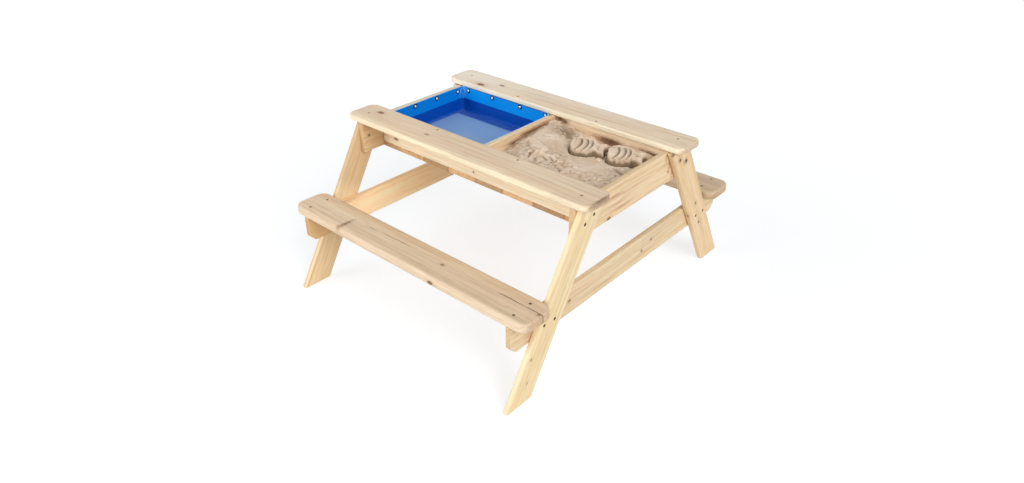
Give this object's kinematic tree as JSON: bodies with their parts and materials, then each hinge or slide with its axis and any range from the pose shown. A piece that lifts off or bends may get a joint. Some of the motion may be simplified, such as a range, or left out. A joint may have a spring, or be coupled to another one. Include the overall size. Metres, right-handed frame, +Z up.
{
  "type": "picnic table with sandbox",
  "caption": "Child's wooden picnic table with splayed legs, fixed bench seats and an open tray in the top, divided into a lined water basin and a sand bed.",
  "frame": {"origin": "on the floor, under the middle of the table", "axes": "+X along the boards from the water side to the sand side, +Y across the table from the front seat to the back seat, +Z up"},
  "size_m": [0.922, 1.0722, 0.5],
  "materials": {
    "pine_top": "sanded pine, faintly greyed, open grain with small knots",
    "pine_frame": "sanded pine, pale and warm, open grain with small knots",
    "blue_liner": "smooth vinyl sheet with a soft sheen",
    "still_water": "clear still water",
    "damp_sand": "loose damp play sand, matte and granular",
    "screw_metal": "yellow passivated zinc, slightly dulled"
  },
  "bodies": {
    "root": {"board_screw_back_left_end": "screw_metal", "board_screw_back_left_middle": "screw_metal", "board_screw_back_right_end": "screw_metal", "board_screw_back_right_middle": "screw_metal", "board_screw_front_left_end": "screw_metal", "board_screw_front_left_middle": "screw_metal", "board_screw_front_right_end": "screw_metal", "board_screw_front_right_middle": "screw_metal", "end_wall_left": "pine_frame", "end_wall_right": "pine_frame", "leg_back_left": "pine_frame", "leg_back_right": "pine_frame", "leg_front_left": "pine_frame", "leg_front_right": "pine_frame", "leg_screw_back_left_head_1": "screw_metal", "leg_screw_back_left_head_2": "screw_metal", "leg_screw_back_left_rail_1": "screw_metal", "leg_screw_back_left_rail_2": "screw_metal", "leg_screw_back_right_head_1": "screw_metal", "leg_screw_back_right_head_2": "screw_metal", "leg_screw_back_right_rail_1": "screw_metal", "leg_screw_back_right_rail_2": "screw_metal", "leg_screw_front_left_head_1": "screw_metal", "leg_screw_front_left_head_2": "screw_metal", "leg_screw_front_left_rail_1": "screw_metal", "leg_screw_front_left_rail_2": "screw_metal", "leg_screw_front_right_head_1": "screw_metal", "leg_screw_front_right_head_2": "screw_metal", "leg_screw_front_right_rail_1": "screw_metal", "leg_screw_front_right_rail_2": "screw_metal", "sand_fill": "damp_sand", "seat_back": "pine_top", "seat_front": "pine_top", "seat_rail_left": "pine_frame", "seat_rail_right": "pine_frame", "seat_screw_back_left_1": "screw_metal", "seat_screw_back_left_2": "screw_metal", "seat_screw_back_right_1": "screw_metal", "seat_screw_back_right_2": "screw_metal", "seat_screw_front_left_1": "screw_metal", "seat_screw_front_left_2": "screw_metal", "seat_screw_front_right_1": "screw_metal", "seat_screw_front_right_2": "screw_metal", "table_board_back": "pine_top", "table_board_front": "pine_top", "tray_apron_back": "pine_frame", "tray_apron_front": "pine_frame", "tray_divider": "pine_frame", "tray_floor_board_1": "pine_top", "tray_floor_board_2": "pine_top", "tray_floor_board_3": "pine_top", "tray_floor_board_4": "pine_top", "tray_floor_board_5": "pine_top", "tray_floor_board_6": "pine_top", "tray_floor_board_7": "pine_top", "tray_floor_board_8": "pine_top", "water_fill": "still_water", "water_liner": "blue_liner"}
  },
  "joints": []
}
